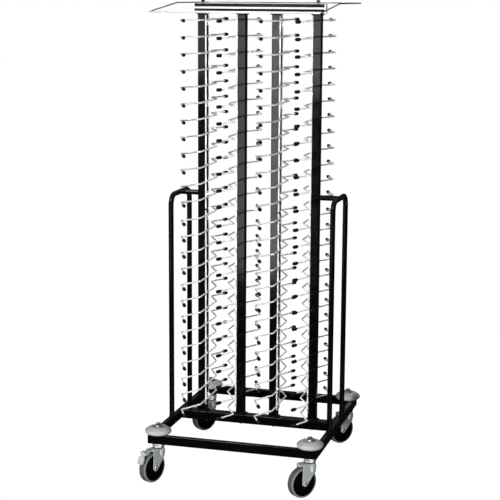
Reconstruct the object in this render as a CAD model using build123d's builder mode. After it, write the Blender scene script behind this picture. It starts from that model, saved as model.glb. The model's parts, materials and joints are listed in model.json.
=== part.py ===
from build123d import *
import os
from math import cos, radians, sin

os.makedirs("parts", exist_ok=True)

# All sizes are in millimetres. The trolley's front faces -Y and the floor is Z = 0.

# Clearances
weld_gap = 0.05
swivel_gap = 0.3
running_gap = 0.05
bolt_gap = 0.25

# Base frame, of rectangular steel tube
frame_width = 654
frame_depth = 726
rail_width = 20
rail_height = 35
mid_rail_width = 40
tube_wall = 2
tube_corner = 2.5
socket_side = 24

# Posts and the plates welded to their ends
post_width = 35
post_depth = 25
post_corner = 3.5
outer_post_x = 224
inner_post_x = 67.5
foot_plate_length = 46
foot_plate_depth = 37
foot_plate_thickness = 4
top_plate_length = 47
top_plate_depth = 34
top_plate_thickness = 6
top_plate_flare = 4.5
stud_radius = 4
stud_drop = 7
stud_rise = 4
stud_chamfer = 0.8

# Plate racks: rows of zigzag wire on two upright rods, in an upper and a lower section
lower_row_count = 13
upper_row_count = 12
row_pitch = 61.5
section_gap = 8
bottom_row_gap = 55
top_row_gap = 26
wire_radius = 3
wire_post_gap = 2
wire_bend_radius = 11
run_half_length = 104
elbow_x = -26
elbow_y = 190
finger_x = 13
finger_y = 268.5
rod_radius = 3
rod_tail = 24
rod_head = 17
rod_break = 7
tip_radius = 6.5
tip_length = 20
tip_grip = 14
tip_round = 4.5

# Bent clips on the posts that keep the racks from sliding
clip_wire_radius = 2.5
clip_half_height = 7.5
clip_reach = 11
clip_row_offset = 13

# Side handles
handle_radius = 10
handle_wall = 2
handle_half_span = 111
handle_rise = 877
handle_bend_radius = 40

# Top rail and clear top sheet
top_rail_length = 505
top_rail_side = 35
end_cap_thickness = 3
end_cap_plug = 12
header_strip_height = 24
header_strip_thickness = 1.5
header_strip_foot = 2
sheet_width = 630
sheet_depth = 704
sheet_thickness = 5
sheet_bend_y = -38
sheet_fall = 32
sheet_bend_radius = 24
sheet_corner = 6
sheet_washer_radius = 12.5
sheet_washer_thickness = 1.5
knob_radius = 6.5
knob_height = 8
knob_round = 1
knob_collar_radius = 4.5
knob_collar_height = 1.5
knob_screw_radius = 3
knob_screw_length = 18

# Corner bumpers and the bolts that hold them and the castors
bumper_radius = 50
bumper_rim_round = 10
bumper_rim_turn = 72
bumper_groove_width = 1.5
bumper_groove_depth = 0.8
bumper_height = 28
bumper_bulge = 1.6
bumper_crown_radius = 24
bumper_crown_bevel = 1.5
bumper_recess_radius = 21
bumper_recess_depth = 3
washer_radius = 18
washer_thickness = 2.5
bolt_radius = 6
bolt_head_radius = 10.4
bolt_head_height = 12
bolt_head_chamfer = 1

# Castors
castor_height = 148
wheel_radius = 57.5
tyre_width = 31
tyre_round = 7
rim_radius = 50
rim_width = 27
rim_lip = 4
web_width = 17
hub_radius = 13
trail = 36
axle_radius = 5
axle_head_radius = 7
axle_head_height = 3
axle_head_round = 1.8
fork_gap = 37
fork_thickness = 3
hub_end_gap = 0.5
fork_plate_thickness = 4
leg_back_x = 45
leg_knee_x = -6
nose_drop = 37
leg_end_radius = 12
leg_end_angle = 39
leg_corner = 2.5
tongue_half_width = 10
brake_tongue_reach = 62
plain_tongue_reach = 50
plain_tongue_lip = 9
head_radius = 23
head_height = 18
head_round = 3
bearing_thickness = 2.7
bearing_inner_radius = 13
bearing_outer_radius = 21.5
kingpin_radius = 10
kingpin_flange_radius = 13.5
kingpin_flange_thickness = 4

# Brake pedals
knuckle_radius = 4.5
knuckle_x = 66
knuckle_drop = 2
pedal_half_width = 14
pedal_pin_radius = 2.5
pedal_ear_gap = 0.4
pedal_ear_reach = 11
pedal_round = 1.5
# Side view of the pedal from its pin: the upper tab, then the arm down to the foot pad
pedal_profile = [
    (4.8, -4),
    (7.8, 3),
    (20, 9),
    (22, 5),
    (13, 0),
    (26, -11),
    (37, -35),
    (32, -37.5),
    (22, -15),
    (9.5, -5),
]
# Side view of the part of the arm that is cut narrow, between the tab and the foot pad
pedal_neck_half_width = 8
pedal_neck = [(14, -1), (24.5, -9.5), (21, -15.5), (10.5, -6.5)]

# Each castor's corner, and the way its wheel trails in degrees from +X
castors = {
    "front_left": (-1, -1, 246),
    "front_right": (1, -1, 231),
    "back_left": (-1, 1, 236),
    "back_right": (1, 1, 230),
}
braked = ("front_left", "back_left")

# Each post's place along the mid rail, and the side its rack is on
posts = {
    "left_outer": (-outer_post_x, 1),
    "left_inner": (-inner_post_x, -1),
    "right_inner": (inner_post_x, 1),
    "right_outer": (outer_post_x, -1),
}

# Heights
rail_bottom = castor_height
rail_top = rail_bottom + rail_height
lowest_row = rail_top + bottom_row_gap
lower_rows = [lowest_row + row * row_pitch for row in range(lower_row_count)]
upper_start = lower_rows[-1] + row_pitch + section_gap
upper_rows = [upper_start + row * row_pitch for row in range(upper_row_count)]
rows = lower_rows + upper_rows
top_rail_bottom = rows[-1] + top_row_gap
top_rail_top = top_rail_bottom + top_rail_side
sheet_top = top_rail_top + sheet_thickness
post_bottom = rail_top + foot_plate_thickness
post_top = top_rail_bottom - top_plate_thickness
handle_top = rail_top + handle_rise
washer_bottom = rail_top + bumper_height - bumper_recess_depth
bolt_head_bottom = washer_bottom + washer_thickness
axle_height = wheel_radius
head_bottom = castor_height - head_height
bearing_bottom = head_bottom - bearing_thickness
fork_plate_top = bearing_bottom - swivel_gap
fork_plate_bottom = fork_plate_top - fork_plate_thickness
kingpin_flange_top = fork_plate_bottom - swivel_gap
kingpin_bottom = kingpin_flange_top - kingpin_flange_thickness
bolt_bottom = head_bottom

# Places in plan
castor_x = frame_width / 2 - rail_width - socket_side / 2
castor_y = frame_depth / 2 - rail_width - socket_side / 2
corners = [(x * castor_x, y * castor_y) for x, y, heading in castors.values()]
post_places = [(x, 0) for x, side in posts.values()]
handle_x = frame_width / 2 - rail_width / 2
run_x = post_width / 2 + wire_post_gap + wire_radius
rod_x = run_x - wire_radius - rod_radius - weld_gap
rod_y = post_depth / 2 + rod_radius + weld_gap
bolt_hole_radius = bolt_radius + bolt_gap


# Base frame

def mitred_outline(length, reach, inset):
    """Plan of a tube mitred at both ends, its outer side at reach from the centre."""
    outer = reach - inset
    inner = reach - rail_width + inset
    outer_end = length / 2 - inset
    inner_end = length / 2 - rail_width + inset
    return [(-outer_end, outer), (outer_end, outer), (inner_end, inner), (-inner_end, inner)]


perimeter = {
    "front_rail": ((-1, 0, 0), frame_width, frame_depth / 2),
    "back_rail": ((1, 0, 0), frame_width, frame_depth / 2),
    "left_rail": ((0, 1, 0), frame_depth, frame_width / 2),
    "right_rail": ((0, -1, 0), frame_depth, frame_width / 2),
}
for name, (along, length, reach) in perimeter.items():
    floor_of_rail = Plane(origin=(0, 0, rail_bottom), x_dir=along, z_dir=(0, 0, 1))
    with BuildPart() as rail:
        with BuildSketch(floor_of_rail):
            Polygon(*mitred_outline(length, reach, 0), align=None)
        extrude(amount=rail_height)
        long_edges = rail.edges().filter_by(Axis((0, 0, 0), along))
        fillet(long_edges, tube_corner)
        with BuildSketch(floor_of_rail.offset(tube_wall)):
            Polygon(*mitred_outline(length, reach, tube_wall), align=None)
        extrude(amount=rail_height - 2 * tube_wall, mode=Mode.SUBTRACT)
    rail.part.label = name
    export_step(rail.part, f"parts/{name}.step")

mid_rail_end = frame_width / 2 - rail_width
with BuildPart() as mid_rail:
    with BuildSketch(Plane.YZ.offset(-mid_rail_end)):
        with Locations((0, rail_bottom + rail_height / 2)):
            RectangleRounded(mid_rail_width, rail_height, tube_corner)
            Rectangle(mid_rail_width - 2 * tube_wall, rail_height - 2 * tube_wall, mode=Mode.SUBTRACT)
    extrude(amount=2 * mid_rail_end)
    with BuildSketch(Plane.XY.offset(rail_bottom)):
        with Locations(*post_places):
            Circle(stud_radius + bolt_gap)
    extrude(amount=rail_height, mode=Mode.SUBTRACT)
mid_rail.part.label = "mid_rail"
export_step(mid_rail.part, "parts/mid_rail.step")

with BuildPart() as castor_sockets:
    with BuildSketch(Plane.XY.offset(rail_bottom)):
        with Locations(*corners):
            Rectangle(socket_side, socket_side)
            Circle(bolt_hole_radius, mode=Mode.SUBTRACT)
    extrude(amount=rail_height)
castor_sockets.part.label = "castor_sockets"
export_step(castor_sockets.part, "parts/castor_sockets.step")


# Posts

for name, (x, side) in posts.items():
    with BuildPart() as post:
        with BuildSketch(Plane.XY.offset(post_bottom)):
            with Locations((x, 0)):
                RectangleRounded(post_width, post_depth, post_corner)
                Rectangle(post_width - 2 * tube_wall, post_depth - 2 * tube_wall, mode=Mode.SUBTRACT)
        extrude(amount=post_top - post_bottom)
    post.part.label = f"post_{name}"
    export_step(post.part, f"parts/post_{name}.step")

with BuildPart() as post_foot_plates:
    with BuildSketch(Plane.XY.offset(rail_top)):
        with Locations(*post_places):
            Rectangle(foot_plate_length, foot_plate_depth)
            Circle(stud_radius + bolt_gap, mode=Mode.SUBTRACT)
    extrude(amount=foot_plate_thickness)
post_foot_plates.part.label = "post_foot_plates"
export_step(post_foot_plates.part, "parts/post_foot_plates.step")

with BuildPart() as post_top_plates:
    with BuildSketch(Plane.XY.offset(post_top)):
        with Locations(*post_places):
            Rectangle(top_plate_length, top_plate_depth)
    extrude(amount=top_plate_thickness)
    lower_edges = post_top_plates.edges().group_by(Axis.Z)[0]
    chamfer(lower_edges, top_plate_flare)
post_top_plates.part.label = "post_top_plates"
export_step(post_top_plates.part, "parts/post_top_plates.step")

with BuildPart() as post_studs:
    with BuildSketch(Plane.XY.offset(rail_bottom - stud_drop)):
        with Locations(*post_places):
            Circle(stud_radius)
    extrude(amount=stud_drop + rail_height + foot_plate_thickness + stud_rise)
    chamfer(post_studs.edges().group_by(Axis.Z)[0], stud_chamfer)
post_studs.part.label = "post_studs"
export_step(post_studs.part, "parts/post_studs.step")


# Plate racks

def zigzag(side):
    """Plan of one wire about its post: a run past the post and a finger to the front and back."""
    half = [(run_x, run_half_length), (elbow_x, elbow_y), (finger_x, finger_y)]
    front = [(side * x, -y) for x, y in reversed(half)]
    back = [(side * x, y) for x, y in half]
    return front + back


finger_rise = Vector(finger_x - elbow_x, finger_y - elbow_y).normalized()
tip_base = Vector(finger_x, finger_y) - finger_rise * tip_grip
lower_rods = (lower_rows[0] - rod_tail, lower_rows[-1] + rod_head)
upper_rods = (lower_rods[1] + rod_break, upper_rows[-1] + rod_head)

with BuildPart() as tip:
    with BuildSketch(Plane.XZ):
        with Locations((0, tip_length / 2)):
            Rectangle(tip_radius, tip_length, align=(Align.MIN, Align.CENTER))
        with Locations((0, tip_grip / 2)):
            bore_radius = wire_radius + weld_gap
            Rectangle(bore_radius, tip_grip, align=(Align.MIN, Align.CENTER), mode=Mode.SUBTRACT)
    revolve(axis=Axis.Z)
    crown = tip.edges().filter_by(GeomType.CIRCLE).sort_by(Axis.Z)[-1]
    fillet(crown, tip_round)

for name, (post_x, side) in posts.items():
    points = zigzag(side)
    start = Vector(*points[0])
    with BuildPart() as wire:
        with BuildLine():
            FilletPolyline(*points, radius=wire_bend_radius)
        with BuildSketch(Plane(origin=start, z_dir=Vector(*points[1]) - start)):
            Circle(wire_radius)
        sweep()

    with BuildPart() as rack_wires:
        with Locations(*[(post_x, 0, z) for z in rows]):
            add(wire.part)
    rack_wires.part.label = f"rack_wires_{name}"
    export_step(rack_wires.part, f"parts/rack_wires_{name}.step")

    rod_places = [(post_x + side * rod_x, y) for y in (-rod_y, rod_y)]
    with BuildPart() as rack_rods:
        for low, high in (lower_rods, upper_rods):
            with BuildSketch(Plane.XY.offset(low)):
                with Locations(*rod_places):
                    Circle(rod_radius)
            extrude(amount=high - low)
    rack_rods.part.label = f"rack_rods_{name}"
    export_step(rack_rods.part, f"parts/rack_rods_{name}.step")

    with BuildPart() as rack_tips:
        tip_places = []
        for y_side in (-1, 1):
            out = (side * finger_rise.X, y_side * finger_rise.Y, 0)
            for z in rows:
                seat = (post_x + side * tip_base.X, y_side * tip_base.Y, z)
                tip_places.append(Plane(origin=seat, z_dir=out).location)
        with Locations(*tip_places):
            add(tip.part)
    rack_tips.part.label = f"rack_tips_{name}"
    export_step(rack_tips.part, f"parts/rack_tips_{name}.step")

# Rows that a clip stands next to, and whether it is above or below the wire
clip_rows = [
    (lower_rows[0], 1),
    (lower_rows[lower_row_count // 2], -1),
    (lower_rows[-1], -1),
    (upper_rows[0], 1),
    (upper_rows[upper_row_count // 2], -1),
    (upper_rows[-1], -1),
]
clip_root = Vector(-clip_wire_radius, 0, -clip_half_height)
clip_apex = Vector(clip_reach, 0, 0)
clip_end = Vector(-clip_wire_radius, 0, clip_half_height)
with BuildPart() as clip:
    with BuildLine():
        Polyline(clip_root, clip_apex, clip_end)
    with BuildSketch(Plane(origin=clip_root, z_dir=clip_apex - clip_root)):
        Circle(clip_wire_radius)
    sweep(transition=Transition.ROUND)
    split(bisect_by=Plane.YZ, keep=Keep.TOP)

with BuildPart() as rack_clips:
    clip_places = []
    for post_x, side in posts.values():
        face_x = post_x + side * post_width / 2
        for z, above in clip_rows:
            seat = (face_x, 0, z + above * clip_row_offset)
            clip_places.append(Plane(origin=seat, x_dir=(side, 0, 0), z_dir=(0, 0, 1)).location)
    with Locations(*clip_places):
        add(clip.part)
rack_clips.part.label = "rack_clips"
export_step(rack_clips.part, "parts/rack_clips.step")


# Handles

for name, side in (("left", -1), ("right", 1)):
    x = side * handle_x
    legs = (-handle_half_span, handle_half_span)
    with BuildPart() as handle:
        with BuildLine(Plane.YZ.offset(x)):
            FilletPolyline(
                (legs[0], rail_top),
                (legs[0], handle_top),
                (legs[1], handle_top),
                (legs[1], rail_top),
                radius=handle_bend_radius,
            )
        with BuildSketch(Plane(origin=(x, legs[0], rail_top), z_dir=(0, 0, 1))):
            Circle(handle_radius)
            Circle(handle_radius - handle_wall, mode=Mode.SUBTRACT)
        sweep()
    handle.part.label = f"handle_{name}"
    export_step(handle.part, f"parts/handle_{name}.step")

    post_face_x = side * (outer_post_x + post_width / 2)
    with BuildPart() as brace:
        with BuildSketch(Plane.YZ.offset(post_face_x)):
            with Locations((0, handle_top)):
                Circle(handle_radius)
                Circle(handle_radius - handle_wall, mode=Mode.SUBTRACT)
        extrude(amount=x - post_face_x)
        with BuildSketch(Plane.XZ.offset(-handle_half_span)):
            with Locations((x, handle_top)):
                Circle(handle_radius + weld_gap)
        extrude(amount=2 * handle_half_span, mode=Mode.SUBTRACT)
    brace.part.label = f"handle_brace_{name}"
    export_step(brace.part, f"parts/handle_brace_{name}.step")


# Top rail and sheet

knob_places = [(-outer_post_x, 0), (outer_post_x, 0)]
rail_end = top_rail_length / 2
with BuildPart() as top_rail:
    with BuildSketch(Plane.YZ.offset(-rail_end)):
        with Locations((0, top_rail_bottom + top_rail_side / 2)):
            RectangleRounded(top_rail_side, top_rail_side, tube_corner)
            Rectangle(top_rail_side - 2 * tube_wall, top_rail_side - 2 * tube_wall, mode=Mode.SUBTRACT)
    extrude(amount=top_rail_length)
    with BuildSketch(Plane.XY.offset(top_rail_top - tube_wall)):
        with Locations(*knob_places):
            Circle(knob_screw_radius + bolt_gap)
    extrude(amount=tube_wall, mode=Mode.SUBTRACT)
top_rail.part.label = "top_rail"
export_step(top_rail.part, "parts/top_rail.step")

with BuildPart() as top_rail_caps:
    for side in (-1, 1):
        plug_side = top_rail_side - 2 * tube_wall - 2 * bolt_gap
        with BuildSketch(Plane.YZ.offset(side * rail_end)):
            with Locations((0, top_rail_bottom + top_rail_side / 2)):
                RectangleRounded(top_rail_side, top_rail_side, tube_corner)
        extrude(amount=side * end_cap_thickness)
        with BuildSketch(Plane.YZ.offset(side * rail_end)):
            with Locations((0, top_rail_bottom + top_rail_side / 2)):
                Rectangle(plug_side, plug_side)
        extrude(amount=-side * end_cap_plug)
top_rail_caps.part.label = "top_rail_caps"
export_step(top_rail_caps.part, "parts/top_rail_caps.step")

with BuildPart() as header_strip:
    with BuildSketch(Plane.XZ.offset(top_rail_side / 2)):
        with Locations((0, top_rail_bottom + header_strip_foot + header_strip_height / 2)):
            Rectangle(top_rail_length, header_strip_height)
    extrude(amount=header_strip_thickness)
header_strip.part.label = "header_strip"
export_step(header_strip.part, "parts/header_strip.step")

sheet_back = sheet_depth / 2
sheet_front = -sheet_depth / 2
sheet_middle = top_rail_top + sheet_thickness / 2
with BuildPart() as top_sheet:
    with BuildLine(Plane.YZ):
        FilletPolyline(
            (sheet_back, sheet_middle),
            (sheet_bend_y, sheet_middle),
            (sheet_front, sheet_middle - sheet_fall),
            radius=sheet_bend_radius,
        )
    with BuildSketch(Plane.XZ.offset(-sheet_back)):
        with Locations((0, sheet_middle)):
            Rectangle(sheet_width, sheet_thickness)
    sweep()
    end_faces = top_sheet.faces().sort_by(Axis.Y)
    corner_edges = [*end_faces[0].edges(), *end_faces[-1].edges()]
    fillet(ShapeList(corner_edges).filter_by(Axis.X, reverse=True), sheet_corner)
    with BuildSketch(Plane.XY.offset(top_rail_top)):
        with Locations(*knob_places):
            Circle(knob_screw_radius + bolt_gap)
    extrude(amount=sheet_thickness, mode=Mode.SUBTRACT)
top_sheet.part.label = "top_sheet"
export_step(top_sheet.part, "parts/top_sheet.step")

with BuildPart() as sheet_washers:
    with BuildSketch(Plane.XY.offset(sheet_top)):
        with Locations(*knob_places):
            Circle(sheet_washer_radius)
            Circle(knob_screw_radius + bolt_gap, mode=Mode.SUBTRACT)
    extrude(amount=sheet_washer_thickness)
sheet_washers.part.label = "sheet_washers"
export_step(sheet_washers.part, "parts/sheet_washers.step")

knob_bottom = sheet_top + sheet_washer_thickness
with BuildPart() as sheet_knobs:
    with BuildSketch(Plane.XY.offset(knob_bottom)):
        with Locations(*knob_places):
            Circle(knob_collar_radius)
    extrude(amount=knob_collar_height)
    with BuildSketch(Plane.XY.offset(knob_bottom + knob_collar_height)):
        with Locations(*knob_places):
            Circle(knob_radius)
    extrude(amount=knob_height - knob_collar_height)
    fillet(sheet_knobs.edges().group_by(Axis.Z)[-1], knob_round)
    with BuildSketch(Plane.XY.offset(knob_bottom)):
        with Locations(*knob_places):
            Circle(knob_screw_radius)
    extrude(amount=-knob_screw_length)
sheet_knobs.part.label = "sheet_knobs"
export_step(sheet_knobs.part, "parts/sheet_knobs.step")


# Bumpers and castor bolts

rim_centre = Vector(bumper_radius - bumper_rim_round, bumper_rim_round)
shoulder = rim_centre + Vector(bumper_rim_round, 0).rotate(Axis.Z, bumper_rim_turn)
groove_foot = shoulder - Vector(bumper_groove_width, bumper_groove_depth)
groove_top = groove_foot + Vector(0, 2 * bumper_groove_depth)
crown = Vector(bumper_crown_radius, bumper_height)
dome_middle = (groove_top + crown) / 2 + Vector(0, bumper_bulge)
recess_floor = bumper_height - bumper_recess_depth
with BuildPart() as bumper:
    with BuildSketch(Plane.XZ):
        with BuildLine():
            Line((bolt_hole_radius, 0), (rim_centre.X, 0))
            ThreePointArc((rim_centre.X, 0), (bumper_radius, rim_centre.Y), shoulder)
            Polyline(shoulder, groove_foot, groove_top)
            ThreePointArc(groove_top, dome_middle, crown)
            Polyline(
                crown,
                (bumper_recess_radius, bumper_height - bumper_crown_bevel),
                (bumper_recess_radius, recess_floor),
                (bolt_hole_radius, recess_floor),
                (bolt_hole_radius, 0),
            )
        make_face()
    revolve(axis=Axis.Z)

with BuildPart() as bumpers:
    with Locations(*[(x, y, rail_top) for x, y in corners]):
        add(bumper.part)
bumpers.part.label = "bumpers"
export_step(bumpers.part, "parts/bumpers.step")

with BuildPart() as bumper_washers:
    with BuildSketch(Plane.XY.offset(washer_bottom)):
        with Locations(*corners):
            Circle(washer_radius)
            Circle(bolt_hole_radius, mode=Mode.SUBTRACT)
    extrude(amount=washer_thickness)
bumper_washers.part.label = "bumper_washers"
export_step(bumper_washers.part, "parts/bumper_washers.step")

with BuildPart() as castor_bolts:
    with BuildSketch(Plane.XY.offset(bolt_head_bottom)):
        with Locations(*corners):
            RegularPolygon(bolt_head_radius, 6)
    extrude(amount=bolt_head_height)
    chamfer(castor_bolts.edges().group_by(Axis.Z)[-1], bolt_head_chamfer)
    with BuildSketch(Plane.XY.offset(bolt_bottom)):
        with Locations(*corners):
            Circle(bolt_radius)
    extrude(amount=bolt_head_bottom - bolt_bottom)
castor_bolts.part.label = "castor_bolts"
export_step(castor_bolts.part, "parts/castor_bolts.step")


# Castors

with BuildPart() as castor_head:
    with BuildSketch(Plane.XZ):
        Polygon(
            (bolt_hole_radius, castor_height),
            (head_radius, castor_height),
            (head_radius, head_bottom),
            (kingpin_radius, head_bottom),
            (kingpin_radius, kingpin_flange_top),
            (kingpin_flange_radius, kingpin_flange_top),
            (kingpin_flange_radius, kingpin_bottom),
            (0, kingpin_bottom),
            (0, bolt_bottom),
            (bolt_hole_radius, bolt_bottom),
            align=None,
        )
    revolve(axis=Axis.Z)
    shoulder = castor_head.edges().filter_by(GeomType.CIRCLE).sort_by(SortBy.RADIUS)[-2:]
    fillet(shoulder.sort_by(Axis.Z)[0], head_round)

with BuildPart() as castor_heads:
    with Locations(*corners):
        add(castor_head.part)
castor_heads.part.label = "castor_heads"
export_step(castor_heads.part, "parts/castor_heads.step")

with BuildPart() as swivel_bearings:
    with BuildSketch(Plane.XY.offset(bearing_bottom)):
        with Locations(*corners):
            Circle(bearing_outer_radius)
            Circle(bearing_inner_radius, mode=Mode.SUBTRACT)
    extrude(amount=bearing_thickness)
swivel_bearings.part.label = "swivel_bearings"
export_step(swivel_bearings.part, "parts/swivel_bearings.step")

leg_end_front = leg_end_radius * cos(radians(leg_end_angle))
leg_end_low = leg_end_radius * sin(radians(leg_end_angle))
fork_half_width = fork_gap / 2 + fork_thickness
nose_bottom = fork_plate_top - nose_drop
leg_outline = [
    (-fork_half_width, fork_plate_top),
    (leg_back_x, fork_plate_top),
    (trail + leg_end_radius, axle_height),
    (trail, axle_height),
    (trail - leg_end_front, axle_height - leg_end_low),
    (leg_knee_x, nose_bottom),
    (-fork_half_width, nose_bottom),
]
leg_reach = max(leg_back_x, trail + leg_end_radius)
hub_half_width = fork_gap / 2 - hub_end_gap
knuckle_height = fork_plate_bottom - knuckle_drop
pedal_outline = [(knuckle_x + x, knuckle_height + z) for x, z in pedal_profile]
neck_outline = [(knuckle_x + x, knuckle_height + z) for x, z in pedal_neck]

forwards = (Align.MIN, Align.CENTER)

for name, (x_side, y_side, heading) in castors.items():
    trail_x = cos(radians(heading))
    trail_y = sin(radians(heading))
    foot = (x_side * castor_x, y_side * castor_y, 0)
    plan = Plane(origin=foot, x_dir=(trail_x, trail_y, 0), z_dir=(0, 0, 1))
    side_view = Plane(origin=foot, x_dir=(trail_x, trail_y, 0), z_dir=(trail_y, -trail_x, 0))
    axle_centre = plan.from_local_coords(Vector(trail, 0, axle_height))
    axle_axis = Axis(axle_centre, side_view.z_dir)

    tongue_reach = brake_tongue_reach if name in braked else plain_tongue_reach
    with BuildPart() as fork:
        with BuildSketch(plan):
            Circle(fork_half_width)
            Rectangle(leg_reach, 2 * fork_half_width, align=forwards)
            Circle(fork_gap / 2, mode=Mode.SUBTRACT)
            Rectangle(leg_reach, fork_gap, align=forwards, mode=Mode.SUBTRACT)
        extrude(amount=fork_plate_top)
        with BuildSketch(side_view.offset(-fork_half_width)):
            Polygon(*leg_outline, align=None)
            with Locations((trail, axle_height)):
                Circle(leg_end_radius)
        extrude(amount=2 * fork_half_width, mode=Mode.INTERSECT)
        with BuildSketch(plan.offset(fork_plate_bottom)):
            Circle(fork_half_width)
            Rectangle(leg_back_x, 2 * fork_half_width, align=forwards)
            Rectangle(tongue_reach, 2 * tongue_half_width, align=forwards)
        extrude(amount=fork_plate_thickness)
        top_edges = fork.edges().group_by(Axis.Z)[-1]
        nose_edges = top_edges.filter_by(GeomType.CIRCLE)
        long_edges = top_edges.filter_by(Axis((0, 0, 0), (trail_x, trail_y, 0)))
        across_fork = long_edges.sort_by(Axis(foot, side_view.z_dir))
        fillet([*nose_edges, across_fork[0], across_fork[-1]], leg_corner)
        if name in braked:
            with BuildSketch(side_view.offset(-tongue_half_width)):
                with Locations((knuckle_x, knuckle_height)):
                    Circle(knuckle_radius)
            extrude(amount=2 * tongue_half_width)
        else:
            lip_x = tongue_reach - fork_plate_thickness / 2
            with BuildSketch(plan.offset(fork_plate_top)):
                with Locations((lip_x, 0)):
                    Rectangle(fork_plate_thickness, 2 * tongue_half_width)
            extrude(amount=-plain_tongue_lip)
        with BuildSketch(plan.offset(fork_plate_bottom)):
            Circle(kingpin_radius + running_gap)
        extrude(amount=fork_plate_thickness, mode=Mode.SUBTRACT)
        with BuildSketch(side_view.offset(-fork_half_width)):
            with Locations((trail, axle_height)):
                Circle(axle_radius + running_gap)
        extrude(amount=2 * fork_half_width, mode=Mode.SUBTRACT)
        if name in braked:
            with BuildSketch(side_view.offset(-tongue_half_width)):
                with Locations((knuckle_x, knuckle_height)):
                    Circle(pedal_pin_radius + running_gap)
            extrude(amount=2 * tongue_half_width, mode=Mode.SUBTRACT)
    fork.part.label = f"castor_fork_{name}"
    export_step(fork.part, f"parts/castor_fork_{name}.step")

    with BuildPart() as axle:
        with BuildSketch(side_view.offset(-fork_half_width)):
            with Locations((trail, axle_height)):
                Circle(axle_radius)
        extrude(amount=2 * fork_half_width)
        for face in (-1, 1):
            with BuildSketch(side_view.offset(face * fork_half_width)):
                with Locations((trail, axle_height)):
                    Circle(axle_head_radius)
            extrude(amount=face * axle_head_height)
        rims = axle.edges().filter_by(GeomType.CIRCLE).sort_by(SortBy.RADIUS)[-4:]
        ends = rims.sort_by(axle_axis)
        fillet([ends[0], ends[-1]], axle_head_round)
    axle.part.label = f"castor_axle_{name}"
    export_step(axle.part, f"parts/castor_axle_{name}.step")

    with BuildPart() as wheel:
        with BuildSketch(plan.offset(axle_height)):
            with Locations((trail, 0)):
                Rectangle(rim_radius, web_width, align=forwards)
                Rectangle(hub_radius, 2 * hub_half_width, align=forwards)
            with Locations((trail + rim_radius - rim_lip, 0)):
                Rectangle(rim_lip, rim_width, align=forwards)
            with Locations((trail, 0)):
                bore_radius = axle_radius + running_gap
                Rectangle(bore_radius, 2 * hub_half_width, align=forwards, mode=Mode.SUBTRACT)
        revolve(axis=axle_axis)
    wheel.part.label = f"castor_wheel_{name}"
    export_step(wheel.part, f"parts/castor_wheel_{name}.step")

    with BuildPart() as tyre:
        with BuildSketch(plan.offset(axle_height)):
            with Locations((trail + rim_radius + weld_gap, 0)):
                tread_depth = wheel_radius - rim_radius - weld_gap
                Rectangle(tread_depth, tyre_width, align=forwards)
        revolve(axis=axle_axis)
        shoulders = tyre.edges().filter_by(GeomType.CIRCLE).sort_by(SortBy.RADIUS)[-2:]
        fillet(shoulders, tyre_round)
    tyre.part.label = f"castor_tyre_{name}"
    export_step(tyre.part, f"parts/castor_tyre_{name}.step")

    if name in braked:
        ear_inner = tongue_half_width + pedal_ear_gap
        with BuildPart() as pedal:
            with BuildSketch(side_view.offset(-pedal_half_width)):
                Polygon(*pedal_outline, align=None)
            extrude(amount=2 * pedal_half_width)
            across = Axis((0, 0, 0), side_view.z_dir)
            fillet(pedal.edges().filter_by(across), pedal_round)
            for face in (-1, 1):
                with BuildSketch(side_view.offset(face * pedal_neck_half_width)):
                    Polygon(*neck_outline, align=None)
                extrude(amount=face * (pedal_half_width - pedal_neck_half_width), mode=Mode.SUBTRACT)
                with BuildSketch(side_view.offset(face * ear_inner)):
                    with Locations((knuckle_x, knuckle_height)):
                        Circle(knuckle_radius)
                        Rectangle(pedal_ear_reach, 2 * knuckle_radius, align=forwards)
                extrude(amount=face * (pedal_half_width - ear_inner))
            with BuildSketch(side_view.offset(-ear_inner)):
                with Locations((knuckle_x, knuckle_height)):
                    Circle(pedal_pin_radius)
            extrude(amount=2 * ear_inner)
        pedal.part.label = f"brake_pedal_{name}"
        export_step(pedal.part, f"parts/brake_pedal_{name}.step")
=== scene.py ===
import json
from math import acos, ceil, cos, pi, sin

import bmesh
import bpy
from mathutils import Matrix, Vector


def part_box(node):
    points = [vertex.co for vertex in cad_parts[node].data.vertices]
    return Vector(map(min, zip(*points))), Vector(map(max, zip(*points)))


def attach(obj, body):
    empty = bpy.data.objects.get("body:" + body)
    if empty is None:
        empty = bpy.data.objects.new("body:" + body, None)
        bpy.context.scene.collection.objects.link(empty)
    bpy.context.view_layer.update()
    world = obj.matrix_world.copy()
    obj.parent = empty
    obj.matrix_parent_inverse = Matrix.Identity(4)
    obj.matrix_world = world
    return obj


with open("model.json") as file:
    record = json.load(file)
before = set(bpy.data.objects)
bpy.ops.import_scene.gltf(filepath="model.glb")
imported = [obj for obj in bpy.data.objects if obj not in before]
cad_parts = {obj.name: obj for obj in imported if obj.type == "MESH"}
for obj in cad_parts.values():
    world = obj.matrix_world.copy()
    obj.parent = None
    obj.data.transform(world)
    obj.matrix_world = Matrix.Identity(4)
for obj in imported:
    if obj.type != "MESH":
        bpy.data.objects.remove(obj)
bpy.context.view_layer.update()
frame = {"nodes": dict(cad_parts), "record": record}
nodes = frame["nodes"]
record = frame["record"]
joints = {joint["name"]: joint for joint in record["behaviour"]["joints"]}

UP = Vector((0, 0, 1))
RIGHT = Vector((1, 0, 0))
BACKWARD = Vector((0, 1, 0))
CASTORS = ("front_left", "front_right", "back_left", "back_right")
BRAKED = ("front_left", "back_left")

# Each rack, with the side of its upright rods that carries the wires: 1 towards +X, -1 towards -X
RACKS = {"left_outer": 1, "left_inner": -1, "right_inner": 1, "right_outer": -1}

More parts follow.
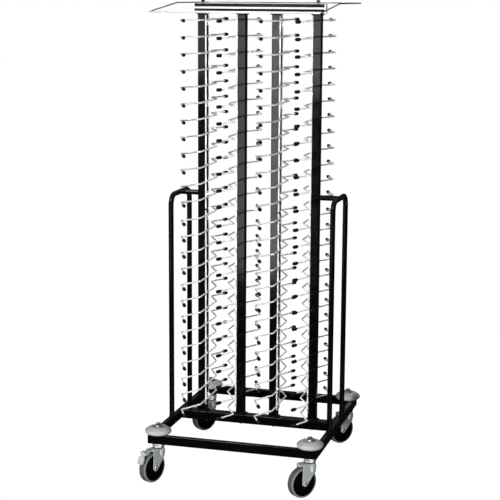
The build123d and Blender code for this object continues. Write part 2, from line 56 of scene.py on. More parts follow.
# Nodes with a finish of their own, apart from the rest of their slot
OWN_FINISHES = {
    "top_rail_caps": "white_caps",
    # Painted highlight: castor heads and axle ends take a paler, part-matt copy of the plated steel so they
    # look lit
    "castor_heads": "bright_heads",
    # Painted shade: the bearing ring under each castor head is near-black, standing in for the shadow line
    # there
    "swivel_bearings": "painted_shade_steel",
}
# The axle ends take the same painted-highlight steel as the heads
OWN_FINISHES.update({f"castor_axle_{castor}": "bright_heads" for castor in CASTORS})
# Painted shade: the upright rods take a darker copy of the white coating, holding them below white in the
# front light
OWN_FINISHES.update({f"rack_rods_{rack}": "white_rods" for rack in RACKS})

# Camera, fitted to the photograph's straight edges and repeated rows; in metres and radians
IMAGE_SIDE = 500
FOCAL_PIXELS = 1385.3
SENSOR_MM = 36
CAMERA_PLACE = Vector((1.414, -5.0749, 1.8139))
CAMERA_YAW = 0.2778
CAMERA_PITCH = 0.1819
CAMERA_ROLL = 0.0059
CAMERA_REACH = 200

# Studio: a white surround, an even fill on matt surfaces, and a dark room seen only in the gloss
FLOOR_SIDE = 60.0
FLOOR_GREY = 0.05
FLOOR_ROUGHNESS = 0.9
FLOOR_GLOW = 1.0
SURROUND = 1.0
FILL = 0.19

# The room's brightness by height, from 0 straight down to 1 straight up
ROOM = [(0.35, 0.012), (0.6, 0.03), (0.95, 0.6)]

# The lit floor in that room, and where it fades in along each axis of the direction looked in
LIT_FLOOR = 1.3
LIT_FLOOR_X = (-0.05, 0.35)
LIT_FLOOR_Y = (-0.15, -0.35)
LIT_FLOOR_Z = (-0.27, -0.33)

# Tall softboxes in front, each mirrored by some of the posts: across, lower edge, upper edge, width and glow
PANEL_Y = -3.5
PANELS = {
    "first_strip": (-1.36, 1.3, 1.75, 0.25, 2.7),
    "second_strip": (-1.09, 0.02, 1.75, 0.22, 4.4),
    "third_strip": (-0.862, 0.02, 1.75, 0.22, 8.0),
    "fourth_strip": (-0.6, 1.2, 1.75, 0.25, 5.6),
}

# The other lights: place, aim, width and height in metres, and power in watts
SOFTBOXES = {
    "key_softbox": dict(place=(-0.1, -5.5, 1.3), aim=(0, 0, 0.8), size=(0.5, 0.5), power=370, in_gloss=False),
    "upper_softbox": dict(
        place=(1.2, -5.0, 2.4), aim=(0, 0, 1.5), size=(0.5, 0.5), power=4, in_gloss=False, spread=0.5
    ),
    "base_softbox": dict(
        place=(-0.5, -1.4, 0.12), aim=(0, -0.36, 0.18), size=(1.2, 0.2), power=2.0, in_gloss=False
    ),
    "back_softbox": dict(place=(0.4, 2.4, 0.9), aim=(0, 0, 0.9), size=(1.4, 1.4), power=60, in_gloss=False),
    "top_softbox": dict(place=(-1.4, -2.6, 3.4), aim=(0, 0, 0.8), size=(1.0, 1.0), power=90, on_matt=False),
}

# Sockets of a Mix node for colours, by number because its socket names repeat
MIX_FACTOR = 0
MIX_FIRST = 6
MIX_SECOND = 7
MIX_RESULT = 2

# Where in the noise a mottled surface reaches its low and its high value
MOTTLE_START = 0.3
MOTTLE_END = 0.7

# The printed bands on the header strip, as heights above its lower edge; the upper one runs to its top
BAND_LOW = 0.0045
BAND_HIGH = 0.0142
UPPER_BAND_LOW = 0.0208
BAND_EDGE = 0.0001
BAND_BLACK = 0.003

# Weld beads on the frame, in metres, with the ripple's length in steps
BEAD_RADIUS = 0.0016
BEAD_STEP = 0.0011
BEAD_RIPPLE = 5
BEAD_SWELL = 0.14
HANDLE_RADIUS = 0.010
HANDLE_STEPS = 48
POST_CORNER = 0.0035
POST_CORNER_STEPS = 3

# Weld spots on the racks; the rings of a spot cover nearly the whole way from pole to pole
ROD_RADIUS = 0.003
ROW_GAP = 4 * ROD_RADIUS
SPOT_SIZE = Vector((0.0026, 0.0040, 0.0036))
SPOT_RINGS = 6
SPOT_SIDES = 10
SPOT_REACH = 0.96

# Raised rings on both faces of the wheel discs
DISC_HALF_WIDTH = 0.0085
RING_RADII = (0.0185, 0.0375)
RING_ROUND = 0.0017
RING_STEPS = 72
RING_SIDES = 10

# Pressed bulge on both sides of a castor's fork, round about the kingpin
FORK_HALF_WIDTH = 0.0215
CHEEK_BULGE = 0.004
CHEEK_DROP = 0.0022
CHEEK_LENGTH = 0.0335
CHEEK_ROOT = 0.001
CHEEK_LEVELS = 12
CHEEK_STEPS = 14

# The bulge's share at its top, how fast it grows from there, the power by which it fades, and its least share
CHEEK_TOP_SHARE = 0.6
CHEEK_GROWTH = 4
CHEEK_FADE = 3
CHEEK_LEAST_SHARE = 0.02

# Brake pedal; places and the tab's normal are (out along the castor's trail, up), as seen from its pin
PAD_TOP = Vector((0.0275, -0.0142))
PAD_FOOT = Vector((0.0360, -0.0328))
PAD_RIBS = 5
PAD_RIB_PITCH = 0.0048
PAD_RIB_RADIUS = 0.0011
PAD_RIB_SIDES = 8
TAB_MIDDLE = Vector((0.0138, 0.0060))
TAB_NORMAL = Vector((-0.441, 0.897))
TAB_BOLT_RADIUS = 0.0052
TAB_BOLT_HEIGHT = 0.0042
TAB_BOLT_BEVEL = TAB_BOLT_HEIGHT / 6
TAB_BOLT_SIDES = 6
TAB_WASHER_RADIUS = 0.0068
TAB_WASHER_HEIGHT = 0.0012
TAB_WASHER_BEVEL = TAB_WASHER_HEIGHT / 4
TAB_WASHER_SIDES = 32

# Grip ribs round the knobs on the clear sheet, with their ends as depths below the knobs' tops
KNOB_RIBS = 18
KNOB_RIB_RADIUS = 0.0006
KNOB_RIB_SIDES = 6
KNOB_RIB_LOW = 0.0058
KNOB_RIB_HIGH = 0.0014

# How ribs round off at their ends, as (share of the length, share of the radius)
PAD_RIB_RUN = ((0, 0.3), (0.04, 0.75), (0.12, 1), (0.88, 1), (0.96, 0.75), (1, 0.3))
KNOB_RIB_RUN = ((0, 0.4), (0.1, 1), (0.9, 1), (1, 0.4))


def new_material(name, specular=0.5, metallic=0.0):
    """A node material with its tree and shader, for the functions below to dress."""
    material = bpy.data.materials.new(name)
    material.use_nodes = True
    tree = material.node_tree
    shader = tree.nodes["Principled BSDF"]
    shader.inputs["Specular IOR Level"].default_value = specular
    shader.inputs["Metallic"].default_value = metallic
    return material, tree, shader


def rgba(colour):
    """A grey or a colour as an opaque colour."""
    rgb = colour if isinstance(colour, tuple) else (colour, colour, colour)
    return (*rgb, 1)


def noise(tree, scale, detail=3.0, stretch=(1, 1, 1)):
    """Noise in object coordinates; scale is in cycles per metre."""
    place = tree.nodes.new("ShaderNodeTexCoord")
    mapping = tree.nodes.new("ShaderNodeMapping")
    mapping.inputs["Scale"].default_value = stretch
    texture = tree.nodes.new("ShaderNodeTexNoise")
    texture.inputs["Scale"].default_value = scale
    texture.inputs["Detail"].default_value = detail
    tree.links.new(place.outputs["Object"], mapping.inputs["Vector"])
    tree.links.new(mapping.outputs["Vector"], texture.inputs["Vector"])
    return texture.outputs["Fac"]


def ramp(tree, factor, stops):
    """A colour ramp through (position, grey or colour) stops."""
    node = tree.nodes.new("ShaderNodeValToRGB")
    elements = node.color_ramp.elements
    while len(elements) < len(stops):
        elements.new(0.5)
    for element, (position, colour) in zip(elements, stops):
        element.position = position
        element.color = rgba(colour)
    tree.links.new(factor, node.inputs["Fac"])
    return node.outputs["Color"]


def mottle(tree, scale, detail, low, high):
    """A grey or colour that wanders between two values over the surface."""
    return ramp(tree, noise(tree, scale, detail), [(MOTTLE_START, low), (MOTTLE_END, high)])


def bump(tree, shader, height, strength, distance):
    """Relief on a surface from a height, no deeper than a distance in metres."""
    node = tree.nodes.new("ShaderNodeBump")
    node.inputs["Strength"].default_value = strength
    node.inputs["Distance"].default_value = distance
    tree.links.new(height, node.inputs["Height"])
    tree.links.new(node.outputs["Normal"], shader.inputs["Normal"])


def mix(tree, factor, first, second, blend="MIX"):
    """Blends two colours by a factor; a colour is a socket, a constant grey or a constant colour."""
    node = tree.nodes.new("ShaderNodeMix")
    node.data_type = "RGBA"
    node.blend_type = blend
    for value, number in ((factor, MIX_FACTOR), (first, MIX_FIRST), (second, MIX_SECOND)):
        socket = node.inputs[number]
        if isinstance(value, bpy.types.NodeSocket):
            tree.links.new(value, socket)
        else:
            socket.default_value = value if number == MIX_FACTOR else rgba(value)
    return node.outputs[MIX_RESULT]


def coordinates(tree, kind):
    """The x, y and z of a texture coordinate."""
    place = tree.nodes.new("ShaderNodeTexCoord")
    split = tree.nodes.new("ShaderNodeSeparateXYZ")
    tree.links.new(place.outputs[kind], split.inputs["Vector"])
    return [split.outputs[axis] for axis in "XYZ"]


def facing(tree, direction):
    """How far a surface faces along a direction of the object, 0 to 1, either way."""
    place = tree.nodes.new("ShaderNodeTexCoord")
    dot = tree.nodes.new("ShaderNodeVectorMath")
    dot.operation = "DOT_PRODUCT"
    dot.inputs[1].default_value = direction
    size = tree.nodes.new("ShaderNodeMath")
    size.operation = "ABSOLUTE"
    tree.links.new(place.outputs["Normal"], dot.inputs[0])
    tree.links.new(dot.outputs["Value"], size.inputs[0])
    return size.outputs[0]


def rise(tree, value, start, end):
    """A factor that goes from 0 at start to 1 at end."""
    node = tree.nodes.new("ShaderNodeMapRange")
    node.inputs["From Min"].default_value = start
    node.inputs["From Max"].default_value = end
    tree.links.new(value, node.inputs["Value"])
    return node.outputs["Result"]


def product(tree, first, second):
    """Two factors multiplied."""
    node = tree.nodes.new("ShaderNodeMath")
    node.operation = "MULTIPLY"
    tree.links.new(first, node.inputs[0])
    tree.links.new(second, node.inputs[1])
    return node.outputs[0]


def black_coat():
    """Glossy black powder coat: slight orange peel, uneven gloss and a film of dust on level faces."""
    material, tree, shader = new_material("black_powder_coat", specular=0.2)
    tone = mottle(tree, scale=7, detail=3, low=(0.0008, 0.0011, 0.0012), high=(0.0014, 0.0019, 0.002))
    dust = ramp(tree, facing(tree, UP), [(0.8, 0.0), (1.0, 0.002)])
    tree.links.new(mix(tree, 1, tone, dust, "ADD"), shader.inputs["Base Color"])
    gloss = mottle(tree, scale=24, detail=5, low=0.07, high=0.14)
    tree.links.new(gloss, shader.inputs["Roughness"])
    bump(tree, shader, noise(tree, scale=260, detail=2), strength=0.05, distance=0.0003)
    return material


def white_coat(name, dark, light):
    """White dipped coating on the racks: soft gloss, slightly uneven, with faint scuffs."""
    material, tree, shader = new_material(name)
    clean = ramp(tree, noise(tree, scale=18, detail=4), [(0.25, dark), (0.75, light)])
    scuff = ramp(tree, noise(tree, scale=160, detail=6), [(0.62, 0.0), (0.74, 0.25)])
    scuffed = (0.6, 0.6, 0.59)
    tree.links.new(mix(tree, scuff, clean, scuffed), shader.inputs["Base Color"])
    gloss = mottle(tree, scale=60, detail=4, low=0.28, high=0.42)
    tree.links.new(gloss, shader.inputs["Roughness"])
    bump(tree, shader, noise(tree, scale=300, detail=3), strength=0.15, distance=0.0004)
    return material


def tip_rubber():
    """Matt black moulded rubber with a fine pitted surface."""
    material, tree, shader = new_material("black_tip_rubber", specular=0.2)
    tone = mottle(tree, scale=30, detail=5, low=0.003, high=0.006)
    tree.links.new(tone, shader.inputs["Base Color"])
    matt = mottle(tree, scale=90, detail=4, low=0.5, high=0.68)
    tree.links.new(matt, shader.inputs["Roughness"])
    bump(tree, shader, noise(tree, scale=700, detail=4), strength=0.25, distance=0.0005)
    return material


def bumper_rubber():
    """Pale grey moulded rubber, mottled, with darker rubs where it meets walls and doors."""
    material, tree, shader = new_material("grey_bumper_rubber")
    clean = mottle(tree, scale=26, detail=5, low=(0.32, 0.32, 0.31), high=(0.39, 0.39, 0.379))
    rub = ramp(tree, noise(tree, scale=70, detail=6, stretch=(1, 1, 3)), [(0.56, 0.0), (0.72, 0.5)])
    rubbed = (0.2, 0.2, 0.194)
    tree.links.new(mix(tree, rub, clean, rubbed), shader.inputs["Base Color"])
    matt = mottle(tree, scale=90, detail=4, low=0.38, high=0.55)
    tree.links.new(matt, shader.inputs["Roughness"])
    bump(tree, shader, noise(tree, scale=420, detail=4), strength=0.2, distance=0.0005)
    return material


def tread_rubber(castor):
    """Grey tyre rubber, paler on the shoulders, partly its own tone and partly a painted highlight, with fine
    scuffs round the tread.
    """
    material, tree, shader = new_material(f"grey_tread_rubber_{castor}")
    # Paler shoulders: in part the rubber's own tone, in part a painted highlight on the sidewalls
    shoulder_tone_and_highlight = facing(tree, joints[f"roll_{castor}"]["axis"])
    tone = ramp(tree, shoulder_tone_and_highlight, [(0.25, (0.065, 0.069, 0.071)), (0.8, (0.165, 0.17, 0.173))])
    cloud = mottle(tree, scale=60, detail=6, low=0.82, high=1.0)
    tree.links.new(mix(tree, 1, tone, cloud, "MULTIPLY"), shader.inputs["Base Color"])
    matt = mottle(tree, scale=120, detail=4, low=0.5, high=0.7)
    tree.links.new(matt, shader.inputs["Roughness"])
    bump(tree, shader, noise(tree, scale=520, detail=4), strength=0.25, distance=0.0005)
    return material


def plastic(name, dark, light, smooth, rough, specular=0.5):
    """Moulded plastic with a fine spark-eroded texture."""
    material, tree, shader = new_material(name, specular=specular)
    tone = mottle(tree, scale=22, detail=4, low=dark, high=light)
    tree.links.new(tone, shader.inputs["Base Color"])
    matt = mottle(tree, scale=70, detail=4, low=smooth, high=rough)
    tree.links.new(matt, shader.inputs["Roughness"])
    bump(tree, shader, noise(tree, scale=1400, detail=2), strength=0.12, distance=0.0003)
    return material


def steel(name, dark, light, smooth, rough, metallic):
    """Plated steel: cloudy tone and gloss, with fine drawn lines."""
    material, tree, shader = new_material(name, metallic=metallic)
    tone = mottle(tree, scale=45, detail=5, low=dark, high=light)
    tree.links.new(tone, shader.inputs["Base Color"])
    matt = mottle(tree, scale=110, detail=5, low=smooth, high=rough)
    tree.links.new(matt, shader.inputs["Roughness"])
    bump(tree, shader, noise(tree, scale=400, detail=3, stretch=(1, 1, 9)), strength=0.025, distance=0.0003)
    return material


def clear_sheet():
    """Clear plastic sheet: almost unseen through its faces, grey at its sawn edges, with painted shade making
    the side edges darkest.
    """
    material, tree, shader = new_material("clear_plastic_sheet")
    level = facing(tree, UP)
    # Painted shade: edges facing the sides are made darker than the front and back edges by the way they face
    edge_tone_and_shade = ramp(tree, facing(tree, RIGHT), [(0.5, (0.36, 0.38, 0.38)), (0.9, (0.04, 0.045, 0.045))])
    face = (0.82, 0.85, 0.85)
    on_face = ramp(tree, level, [(0.4, 0.0), (0.9, 1.0)])
    tree.links.new(mix(tree, on_face, edge_tone_and_shade, face), shader.inputs["Base Color"])
    tree.links.new(ramp(tree, level, [(0.4, 0.95), (0.9, 0.012)]), shader.inputs["Alpha"])
    haze = mottle(tree, scale=12, detail=5, low=0.05, high=0.14)
    tree.links.new(haze, shader.inputs["Roughness"])
    return material


def header_print():
    """White printed plastic strip with two plain black bands along it."""
    material, tree, shader = new_material("header_strip_print", specular=0.1)
    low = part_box("header_strip")[0].z
    height = coordinates(tree, "Object")[2]
    paper = mottle(tree, scale=30, detail=4, low=0.66, high=0.72)
    above = rise(tree, height, low + BAND_LOW - BAND_EDGE, low + BAND_LOW + BAND_EDGE)
    below = rise(tree, height, low + BAND_HIGH + BAND_EDGE, low + BAND_HIGH - BAND_EDGE)
    printed = mix(tree, product(tree, above, below), paper, BAND_BLACK)
    upper = rise(tree, height, low + UPPER_BAND_LOW - BAND_EDGE, low + UPPER_BAND_LOW + BAND_EDGE)
    tree.links.new(mix(tree, upper, printed, BAND_BLACK), shader.inputs["Base Color"])
    gloss = mottle(tree, scale=50, detail=4, low=0.3, high=0.42)
    tree.links.new(gloss, shader.inputs["Roughness"])
    return material


finishes = {
    "black_coat": black_coat(),
    "white_coat": white_coat("white_wire_coat", dark=(0.86, 0.86, 0.85), light=(0.92, 0.92, 0.915)),
    # Painted shade: a darker copy of the white coating for the front-lit upright rods
    "white_rods": white_coat("shaded_white_rod_coat", dark=(0.66, 0.66, 0.655), light=(0.72, 0.72, 0.715)),
    "black_rubber": tip_rubber(),
    "grey_bumper": bumper_rubber(),
    "bright_steel": steel("bright_plated_steel", 0.72, 0.82, smooth=0.12, rough=0.2, metallic=1),
    # Painted highlight: a paler, less metallic copy of the plated steel, for the castor heads and axle ends
    "bright_heads": steel("painted_highlight_plated_heads", 0.78, 0.88, smooth=0.12, rough=0.2, metallic=0.75),
    # Painted shade: near-black steel for the bearing rings, standing in for the shadow under the castor heads
    "painted_shade_steel": steel("painted_shade_bearing_steel", 0.012, 0.03, smooth=0.3, rough=0.45, metallic=1),
    "zinc_steel": steel(
        "zinc_plated_steel", (0.58, 0.62, 0.63), (0.64, 0.68, 0.69), smooth=0.34, rough=0.4, metallic=0.5
    ),
    "black_plastic": plastic("black_moulded_plastic", 0.0008, 0.0016, smooth=0.3, rough=0.42, specular=0.06),
    "grey_plastic": plastic(
        "grey_moulded_plastic", (0.32, 0.325, 0.33), (0.4, 0.405, 0.41), smooth=0.4, rough=0.55
    ),
    "white_strip": header_print(),
    "white_caps": plastic("white_moulded_plastic", 0.88, 0.94, smooth=0.35, rough=0.5),
    "clear_plastic": clear_sheet(),
}


def dress_nodes():
    """Gives every CAD node the finish of its slot in the record; tyres and a few others have their own."""
    for part in record["subparts"]:
        node = part["node"]
        if part["material_slot"] == "grey_tread":
            finish = tread_rubber(node.removeprefix("castor_tyre_"))
        elif node in OWN_FINISHES:
            finish = finishes[OWN_FINISHES[node]]
        else:
            finish = finishes[part["material_slot"]]
        nodes[node].data.materials.clear()
        nodes[node].data.materials.append(finish)


def ring_points(centre, first, second, radius, count):
    """Points round a circle, from its first direction towards its second."""
    turns = [2 * pi * step / count for step in range(count)]
    return [centre + radius * (cos(turn) * first + sin(turn) * second) for turn in turns]


def circle(centre, axis, radius, count):
    """Points round a circle about an axis."""
    across = axis.orthogonal().normalized()
    beside = axis.cross(across).normalized()
    return ring_points(centre, across, beside, radius, count)


def skin(loops, closed=False):
    """A skin through loops of equal count, closed on itself or else capped at both ends."""
    count = len(loops)
    sides = len(loops[0])
    verts = [point for loop in loops for point in loop]
    faces = []
    for span in range(count if closed else count - 1):
        near = span * sides
        far = (span + 1) % count * sides
        for step in range(sides):
            turned = (step + 1) % sides
            faces.append((near + step, far + step, far + turned, near + turned))
    if not closed:
        faces.append(tuple(range(sides)))
        faces.append(tuple(reversed(range((count - 1) * sides, count * sides))))
    return verts, faces


def tube(path, radii, reference, sides=8, closed=False):
    """A tube through the points of a path, with a radius at each; reference is never along the path."""
    count = len(path)
    loops = []
    for index, (point, radius) in enumerate(zip(path, radii)):
        before = path[index - 1] if closed or index else point
        after = path[(index + 1) % count] if closed or index < count - 1 else point
        along = (after - before).normalized()
        side = along.cross(reference).normalized()
        loops.append(ring_points(point, side, side.cross(along), radius, sides))
    return skin(loops, closed)


def bead(corners, reference, closed=False):
    """A rippled weld bead along straight runs between corners; an open one is thin at both ends."""
    path = []
    ends = corners[1:] + corners[:1] if closed else corners[1:]
    for start, end in zip(corners, ends):
        steps = max(1, ceil((end - start).length / BEAD_STEP))
        path += [start.lerp(end, step / steps) for step in range(steps)]
    if not closed:
        path.append(corners[-1])
    radii = [BEAD_RADIUS * (1 + BEAD_SWELL * sin(2 * pi * step / BEAD_RIPPLE)) for step in range(len(path))]
    if not closed:
        radii[0] = radii[-1] = BEAD_RADIUS / 2
    return tube(path, radii, reference, closed=closed)


def spot(centre):
    """A weld spot: a rounded lump."""
    leans = [pi * (ring / SPOT_RINGS - 0.5) * SPOT_REACH for ring in range(SPOT_RINGS + 1)]
    path = [Vector((0, 0, sin(lean))) for lean in leans]
    radii = [cos(lean) for lean in leans]
    verts, faces = tube(path, radii, RIGHT, SPOT_SIDES)
    return [centre + vert * SPOT_SIZE for vert in verts], faces


def rib(start, end, radius, run, reference, sides):
    """A rib between two points, with its radius along the way given by a run of shares."""
    path = [start.lerp(end, share) for share, _ in run]
    radii = [radius * share for _, share in run]
    return tube(path, radii, reference, sides)


def prism(foot, axis, radius, height, sides, bevel):
    """An upright prism on a foot point, with its top edge bevelled."""
    path = [foot, foot + axis * (height - bevel), foot + axis * height]
    return tube(path, [radius, radius, radius - bevel], axis.orthogonal(), sides)


def add_piece(name, shapes, body, slot, smooth=True):
    """Joins shapes into one piece that rides on a body and takes the finish of a slot."""
    verts = []
    faces = []
    for shape_verts, shape_faces in shapes:
        first = len(verts)
        verts += shape_verts
        faces += [tuple(first + index for index in face) for face in shape_faces]
    mesh = bpy.data.meshes.new(name)
    mesh.from_pydata(verts, [], faces)
    shell = bmesh.new()
    shell.from_mesh(mesh)
    bmesh.ops.recalc_face_normals(shell, faces=shell.faces)
    shell.to_mesh(mesh)
    shell.free()
    for polygon in mesh.polygons:
        polygon.use_smooth = smooth
    mesh.materials.append(finishes[slot])
    piece = bpy.data.objects.new(name, mesh)
    bpy.context.scene.collection.objects.link(piece)
    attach(piece, body)


def row_heights(node):
    """The heights of the wires in a rack, from the clusters of its points."""
    heights = sorted({round(vertex.co.z, 5) for vertex in nodes[node].data.vertices})
    rows = [[heights[0]]]
    for height in heights[1:]:
        if height - rows[-1][-1] > ROW_GAP:
            rows.append([])
        rows[-1].append(height)
    return [(row[0] + row[-1]) / 2 for row in rows]


def add_rack_welds():
    """A weld spot where each wire crosses each upright rod."""
    for rack, side in RACKS.items():
        low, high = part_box(f"rack_rods_{rack}")
        contact_x = high.x if side > 0 else low.x
        places = [
            Vector((contact_x, y, z))
            for y in (low.y + ROD_RADIUS, high.y - ROD_RADIUS)
            for z in row_heights(f"rack_wires_{rack}")
        ]
        add_piece(f"rack_welds_{rack}", [spot(place) for place in places], "trolley", "white_coat")


def add_handle_welds():
    """Beads where the handle legs stand on the side rails and where the braces meet the posts."""
    shapes = []
    for side in ("left", "right"):
        low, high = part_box(f"handle_{side}")
        x = (low.x + high.x) / 2
        for y in (low.y + HANDLE_RADIUS, high.y - HANDLE_RADIUS):
            leg = circle(Vector((x, y, low.z)), UP, HANDLE_RADIUS, HANDLE_STEPS)
            shapes.append(bead(leg, UP, closed=True))
        low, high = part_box(f"handle_brace_{side}")
        post_x = high.x if side == "left" else low.x
        middle = (low + high) / 2
        end = circle(Vector((post_x, middle.y, middle.z)), RIGHT, HANDLE_RADIUS, HANDLE_STEPS)
        shapes.append(bead(end, RIGHT, closed=True))
    add_piece("handle_welds", shapes, "trolley", "black_coat")


def post_foot(low, high):
    """Points round the foot of a post, with its rounded corners."""
    loop = []
    for turn, (x_side, y_side) in enumerate(((1, 1), (-1, 1), (-1, -1), (1, -1))):
        x = (high.x if x_side > 0 else low.x) - x_side * POST_CORNER
        y = (high.y if y_side > 0 else low.y) - y_side * POST_CORNER
        for step in range(POST_CORNER_STEPS + 1):
            angle = pi / 2 * (turn + step / POST_CORNER_STEPS)
            loop.append(Vector((x, y, low.z)) + POST_CORNER * Vector((cos(angle), sin(angle), 0)))
    return loop


def add_post_welds():
    """Beads round the foot of each post, and where the mid rail meets the side rails."""
    shapes = []
    for rack in RACKS:
        low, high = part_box(f"post_{rack}")
        shapes.append(bead(post_foot(low, high), UP, closed=True))
    low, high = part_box("mid_rail")
    arch = ((low.y, low.z), (low.y, high.z), (high.y, high.z), (high.y, low.z))
    for x in (low.x, high.x):
        shapes.append(bead([Vector((x, y, z)) for y, z in arch], RIGHT))
    add_piece("frame_welds", shapes, "trolley", "black_coat")


def add_wheel_rings():
    """Raised moulded rings on both faces of each wheel disc."""
    for castor in CASTORS:
        joint = joints[f"roll_{castor}"]
        axis = Vector(joint["axis"])
        shapes = []
        for face in (-1, 1):
            centre = Vector(joint["pos_m"]) + face * DISC_HALF_WIDTH * axis
            for radius in RING_RADII:
                path = circle(centre, axis, radius, RING_STEPS)
                shapes.append(tube(path, [RING_ROUND] * RING_STEPS, axis, RING_SIDES, closed=True))
        add_piece(f"wheel_rings_{castor}", shapes, f"wheel_{castor}", "black_plastic")


def castor_directions(castor):
    """The level directions along a castor's trail and across it."""
    trail = Vector(joints[f"roll_{castor}"]["pos_m"]) - Vector(joints[f"swivel_{castor}"]["pos_m"])
    trail.z = 0
    trail.normalize()
    return trail, UP.cross(trail)


def cheek_profile(down):
    """A fork's bulge at a share of its way down, as points (along the trail, out) from the kingpin."""
    fullness = (1 - down ** CHEEK_FADE) * min(1, CHEEK_TOP_SHARE + CHEEK_GROWTH * down)
    radius = FORK_HALF_WIDTH + CHEEK_BULGE * max(CHEEK_LEAST_SHARE, fullness)
    half_turn = acos(FORK_HALF_WIDTH / radius)
    turns = [half_turn * (2 * step / CHEEK_STEPS - 1) for step in range(CHEEK_STEPS + 1)]
    profile = [(radius * sin(turn), radius * cos(turn)) for turn in turns]
    root = FORK_HALF_WIDTH - CHEEK_ROOT
    return profile + [(profile[-1][0], root), (profile[0][0], root)]


def add_fork_cheeks():
    """The pressed bulge on both sides of each fork, fading out downwards."""
    for castor in CASTORS:
        trail, across = castor_directions(castor)
        pivot = Vector(joints[f"swivel_{castor}"]["pos_m"])
        pivot.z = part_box(f"castor_fork_{castor}")[1].z - CHEEK_DROP
        shapes = []
        for face in (-1, 1):
            loops = []
            for level in range(CHEEK_LEVELS + 1):
                down = level / CHEEK_LEVELS
                middle = pivot - UP * CHEEK_LENGTH * down
                profile = cheek_profile(down)
                loops.append([middle + trail * along + across * face * out for along, out in profile])
            shapes.append(skin(loops))
        add_piece(f"fork_cheeks_{castor}", shapes, f"swivel_fork_{castor}", "zinc_steel")


def add_pedal_details():
    """Grip ribs on each brake pedal's foot pad, and the bolt and washer on its tab."""
    for castor in BRAKED:
        pin = Vector(joints[f"press_brake_{castor}"]["pos_m"])
        trail, across = castor_directions(castor)
        body = f"brake_{castor}"
        ribs = []
        for index in range(PAD_RIBS):
            shift = across * PAD_RIB_PITCH * (index - (PAD_RIBS - 1) / 2)
            top = pin + trail * PAD_TOP.x + UP * PAD_TOP.y + shift
            foot = pin + trail * PAD_FOOT.x + UP * PAD_FOOT.y + shift
            ribs.append(rib(top, foot, PAD_RIB_RADIUS, PAD_RIB_RUN, across, PAD_RIB_SIDES))
        add_piece(f"pedal_ribs_{castor}", ribs, body, "grey_plastic")
        normal = (trail * TAB_NORMAL.x + UP * TAB_NORMAL.y).normalized()
        seat = pin + trail * TAB_MIDDLE.x + UP * TAB_MIDDLE.y
        washer = prism(
            seat, normal, TAB_WASHER_RADIUS, TAB_WASHER_HEIGHT, TAB_WASHER_SIDES, TAB_WASHER_BEVEL
        )
        head_foot = seat + normal * TAB_WASHER_HEIGHT
        head = prism(head_foot, normal, TAB_BOLT_RADIUS, TAB_BOLT_HEIGHT, TAB_BOLT_SIDES, TAB_BOLT_BEVEL)
        add_piece(f"pedal_bolt_{castor}", [washer, head], body, "bright_steel", smooth=False)


def add_knob_ribs():
    """Grip ribs round the two knobs on the clear sheet."""
    low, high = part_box("sheet_knobs")
    radius = (high.y - low.y) / 2
    middle_y = (high.y + low.y) / 2
    climb = UP * (KNOB_RIB_LOW - KNOB_RIB_HIGH)
    shapes = []
    for x in (low.x + radius, high.x - radius):
        foot = Vector((x, middle_y, high.z - KNOB_RIB_LOW))
        for start in circle(foot, UP, radius, KNOB_RIBS):
            shapes.append(rib(start, start + climb, KNOB_RIB_RADIUS, KNOB_RIB_RUN, RIGHT, KNOB_RIB_SIDES))
    add_piece("knob_ribs", shapes, "trolley", "black_plastic")


def add_camera():
    """A camera at the photograph's place, with its angles and its field of view."""
    forward = Vector((
        -sin(CAMERA_YAW) * cos(CAMERA_PITCH),
        cos(CAMERA_YAW) * cos(CAMERA_PITCH),
        -sin(CAMERA_PITCH),
    ))
    level = Vector((cos(CAMERA_YAW), sin(CAMERA_YAW), 0))
    upright = level.cross(forward)
    right = cos(CAMERA_ROLL) * level + sin(CAMERA_ROLL) * upright
    up = cos(CAMERA_ROLL) * upright - sin(CAMERA_ROLL) * level
    data = bpy.data.cameras.new("photo_camera")
    data.sensor_width = SENSOR_MM
    data.sensor_fit = "HORIZONTAL"
    data.lens = SENSOR_MM * FOCAL_PIXELS / IMAGE_SIDE
    data.clip_end = CAMERA_REACH
    camera = bpy.data.objects.new("photo_camera", data)
    turn = Matrix((right, up, -forward)).transposed().to_4x4()
    camera.matrix_world = Matrix.Translation(CAMERA_PLACE) @ turn
    bpy.context.scene.collection.objects.link(camera)
    bpy.context.scene.camera = camera


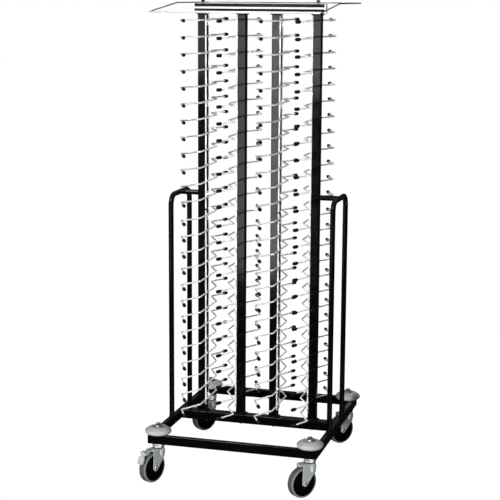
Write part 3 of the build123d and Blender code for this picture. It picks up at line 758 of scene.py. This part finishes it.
def add_floor():
    """A white floor that takes a faint shadow and keeps out of the object's own reflections."""
    half = FLOOR_SIDE / 2
    corners = [(-half, -half, 0), (half, -half, 0), (half, half, 0), (-half, half, 0)]
    mesh = bpy.data.meshes.new("floor")
    mesh.from_pydata(corners, [], [(0, 1, 2, 3)])
    material, _, shader = new_material("pale_floor", specular=0)
    shader.inputs["Base Color"].default_value = rgba(FLOOR_GREY)
    shader.inputs["Roughness"].default_value = FLOOR_ROUGHNESS
    shader.inputs["Emission Color"].default_value = rgba(1)
    shader.inputs["Emission Strength"].default_value = FLOOR_GLOW
    mesh.materials.append(material)
    floor = bpy.data.objects.new("floor", mesh)
    floor.visible_diffuse = False
    floor.visible_glossy = False
    bpy.context.scene.collection.objects.link(floor)


def add_world():
    """White behind the object, an even fill for matt surfaces, and for gloss a dark room with a lit floor."""
    world = bpy.data.worlds.new("studio")
    bpy.context.scene.world = world
    world.use_nodes = True
    tree = world.node_tree
    rays = tree.nodes.new("ShaderNodeLightPath")
    x, y, z = coordinates(tree, "Generated")
    room = ramp(tree, rise(tree, z, -1, 1), ROOM)
    ahead = product(tree, rise(tree, x, *LIT_FLOOR_X), rise(tree, y, *LIT_FLOOR_Y))
    pool = product(tree, ahead, rise(tree, z, *LIT_FLOOR_Z))
    room = mix(tree, pool, room, LIT_FLOOR)
    lit = mix(tree, rays.outputs["Is Glossy Ray"], FILL, room)
    seen = mix(tree, rays.outputs["Is Camera Ray"], lit, SURROUND)
    tree.links.new(seen, tree.nodes["Background"].inputs["Color"])


def add_softbox(name, place, aim, size, power, in_gloss=True, on_matt=True, spread=pi):
    """A rectangular light that the camera doesn't see; it can be kept out of gloss or off matt surfaces."""
    data = bpy.data.lights.new(name, "AREA")
    data.shape = "RECTANGLE"
    data.size, data.size_y = size
    data.energy = power
    data.spread = spread
    light = bpy.data.objects.new(name, data)
    light.location = place
    light.visible_camera = False
    light.visible_glossy = in_gloss
    light.visible_diffuse = on_matt
    light.rotation_euler = (Vector(aim) - Vector(place)).to_track_quat("-Z", "Z").to_euler()
    bpy.context.scene.collection.objects.link(light)


def add_lights():
    """The tall softboxes that the posts mirror, square to the front, and then the other lights."""
    for name, (across, low, high, width, glow) in PANELS.items():
        place = Vector((across, PANEL_Y, (low + high) / 2))
        height = high - low
        add_softbox(name, place, place + BACKWARD, (width, height), glow * pi * width * height)
    for name, settings in SOFTBOXES.items():
        add_softbox(name, **settings)


dress_nodes()
add_rack_welds()
add_handle_welds()
add_post_welds()
add_wheel_rings()
add_fork_cheeks()
add_pedal_details()
add_knob_ribs()
add_camera()
add_floor()
add_world()
add_lights()
bpy.context.scene.view_settings.view_transform = "Standard"
